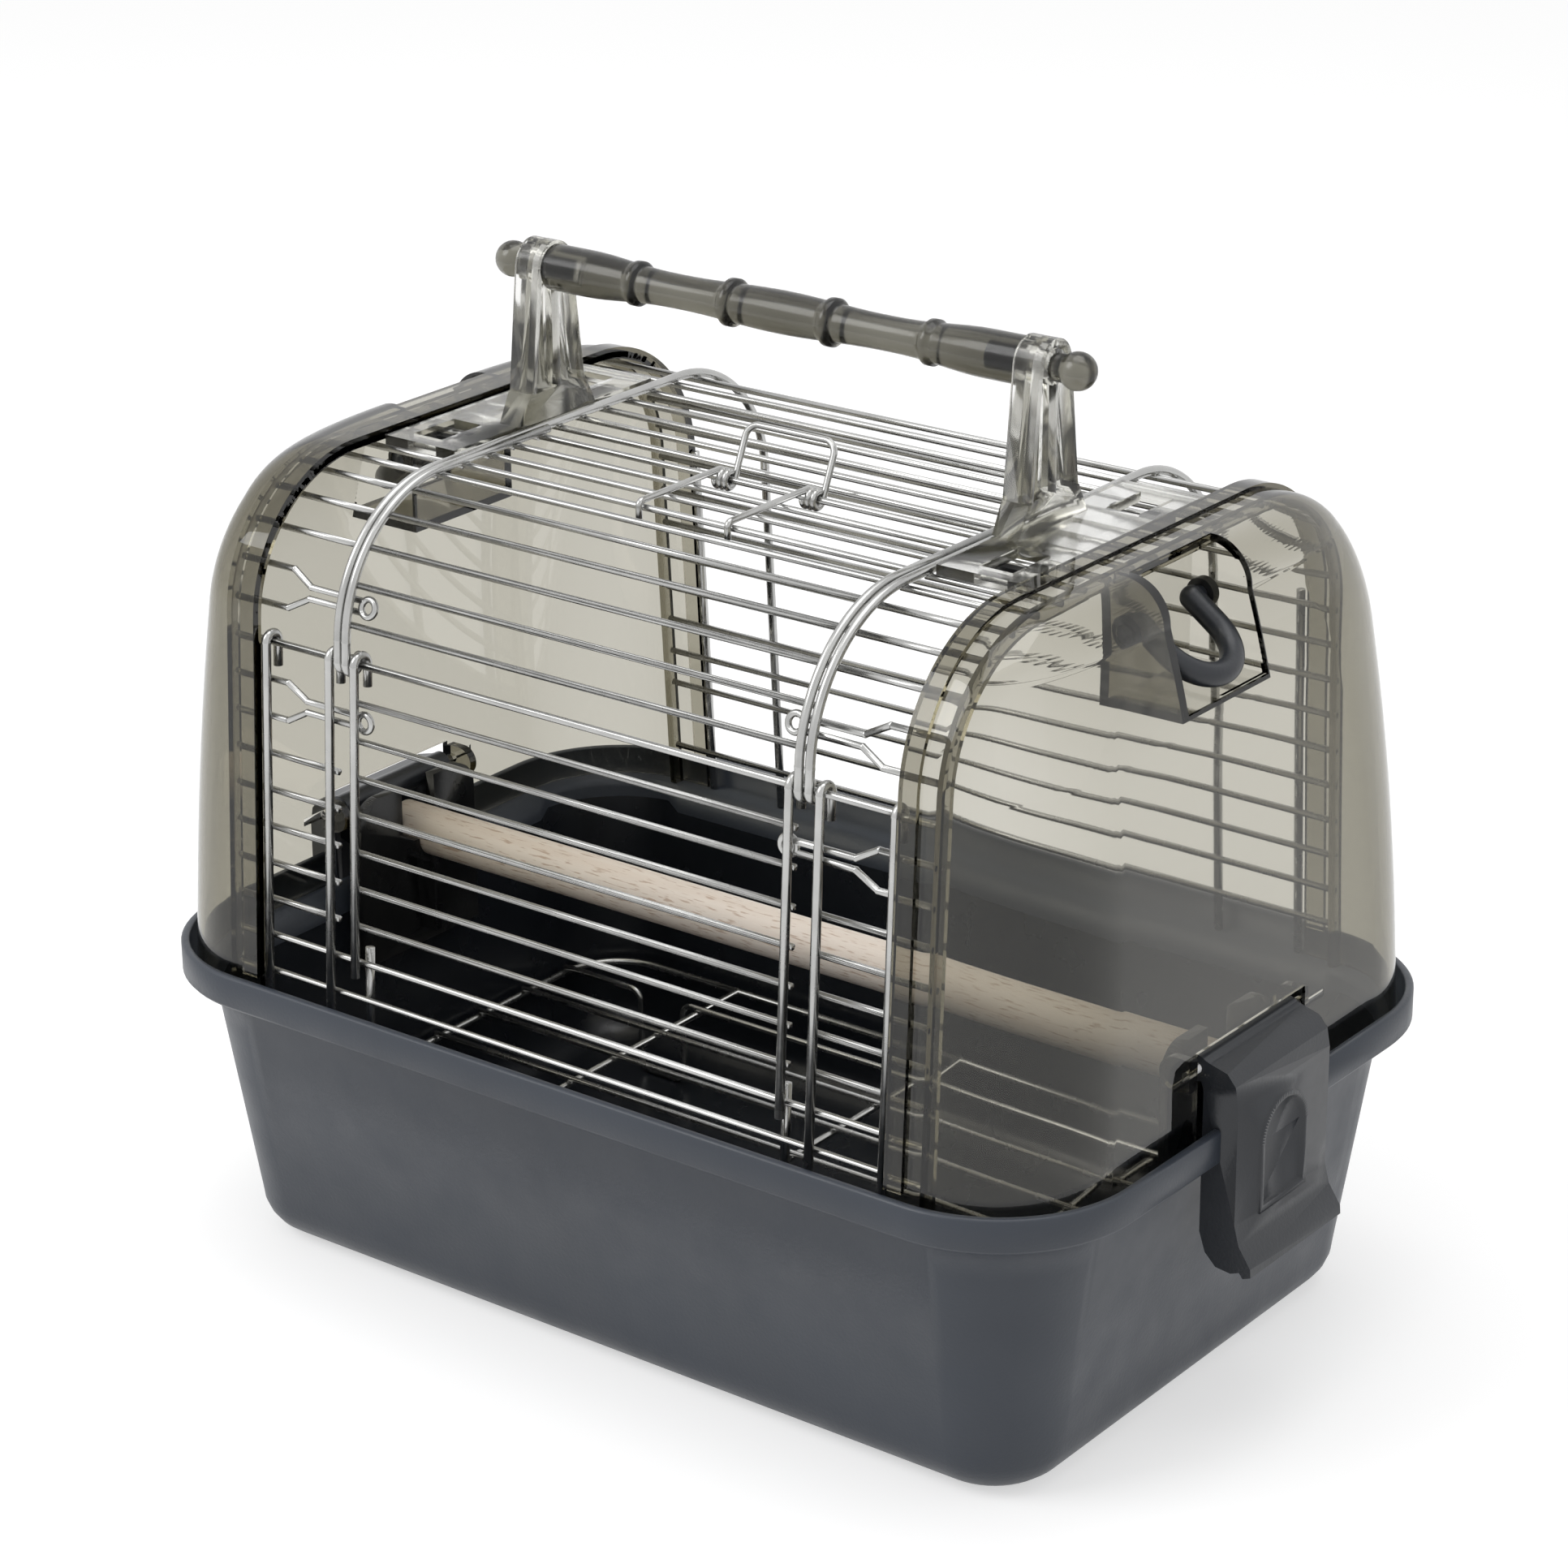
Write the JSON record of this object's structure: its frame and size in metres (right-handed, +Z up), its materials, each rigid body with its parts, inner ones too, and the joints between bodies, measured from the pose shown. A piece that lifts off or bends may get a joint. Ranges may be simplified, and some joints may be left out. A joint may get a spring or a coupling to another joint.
{
  "type": "bird travel carrier",
  "caption": "Small pet travel carrier: deep moulded tub, lift-off cover of smoked end shells and a wire arch with two doors, carry handle, perch and floor grate.",
  "frame": {"origin": "centre of the tub's flat underside, on the ground", "axes": "+X along the length towards the right end as seen from the door side, -Y towards the side with the doors, +Z up"},
  "size_m": [0.3612, 0.229, 0.308],
  "materials": {
    "slate_plastic": "fine matte grain, slate grey",
    "smoke_shell": "clear smoked, glossy",
    "smoke_handle": "smoked, glossy",
    "black_plastic": "satin black",
    "bail_plastic": "satin blue-black",
    "plated_wire": "bright plated",
    "steel_pin": "plain",
    "beech": "bare turned wood"
  },
  "bodies": {
    "base": {"base_tub": "slate_plastic", "left_perch_bracket": "black_plastic", "right_perch_bracket": "black_plastic"},
    "perch": {"perch": "beech"},
    "floor_grate": {"floor_grate": "plated_wire"},
    "cover": {"left_end_shell": "smoke_shell", "right_end_shell": "smoke_shell", "left_bail_bushes": "black_plastic", "right_bail_bushes": "black_plastic", "left_buckle_pin": "steel_pin", "right_buckle_pin": "steel_pin", "hinge_wire": "plated_wire", "left_hoop": "plated_wire", "right_hoop": "plated_wire", "back_grille": "plated_wire", "rear_corner_wires": "plated_wire", "roof_grille": "plated_wire", "left_front_corner_wires": "plated_wire", "right_front_corner_wires": "plated_wire", "left_front_strip": "plated_wire", "right_front_strip": "plated_wire", "front_sill_wires": "plated_wire", "left_upper_spring": "plated_wire", "left_lower_spring": "plated_wire", "right_upper_spring": "plated_wire", "right_lower_spring": "plated_wire", "left_handle_post": "smoke_handle", "right_handle_post": "smoke_handle", "handle_grip": "smoke_handle", "left_handle_knob": "smoke_handle", "right_handle_knob": "smoke_handle", "left_handle_clips": "black_plastic", "right_handle_clips": "black_plastic"},
    "upper_door": {"upper_door": "plated_wire"},
    "door_latch": {"door_latch": "plated_wire"},
    "lower_door": {"lower_door": "plated_wire"},
    "left_buckle": {"left_buckle": "slate_plastic"},
    "right_buckle": {"right_buckle": "slate_plastic"},
    "left_strap_bail": {"left_strap_bail": "bail_plastic"},
    "right_strap_bail": {"right_strap_bail": "bail_plastic"}
  },
  "joints": [
    {"name": "cover_lift", "type": "slide", "parent": "base", "child": "cover", "axis": [0, 0, 1], "range_m": [0, 0.12]},
    {"name": "upper_door_hinge", "type": "hinge", "parent": "cover", "child": "upper_door", "pos_m": [0, -0.09858, 0.20465], "axis": [1, 0, 0], "range_deg": [0, 90]},
    {"name": "lower_door_hinge", "type": "hinge", "parent": "cover", "child": "lower_door", "pos_m": [0, -0.09858, 0.20465], "axis": [-1, 0, 0], "range_deg": [0, 55]},
    {"name": "door_latch_hinge", "type": "hinge", "parent": "upper_door", "child": "door_latch", "pos_m": [0.001, -0.01147, 0.2507], "axis": [-1, 0, 0], "range_deg": [0, 40]},
    {"name": "right_buckle_hinge", "type": "hinge", "parent": "cover", "child": "right_buckle", "pos_m": [0.161, 0, 0.116], "axis": [0, -1, 0], "range_deg": [0, 45]},
    {"name": "left_buckle_hinge", "type": "hinge", "parent": "cover", "child": "left_buckle", "pos_m": [-0.161, 0, 0.116], "axis": [0, 1, 0], "range_deg": [0, 45]},
    {"name": "right_bail_hinge", "type": "hinge", "parent": "cover", "child": "right_strap_bail", "pos_m": [0.1315, 0, 0.237], "axis": [0, -1, 0], "range_deg": [0, 85]},
    {"name": "left_bail_hinge", "type": "hinge", "parent": "cover", "child": "left_strap_bail", "pos_m": [-0.1315, 0, 0.237], "axis": [0, 1, 0], "range_deg": [0, 85]},
    {"name": "perch_lift", "type": "slide", "parent": "base", "child": "perch", "axis": [0, 0, 1], "range_m": [0, 0.045]},
    {"name": "grate_lift", "type": "slide", "parent": "base", "child": "floor_grate", "axis": [0, 0, 1], "range_m": [0, 0.034]}
  ]
}
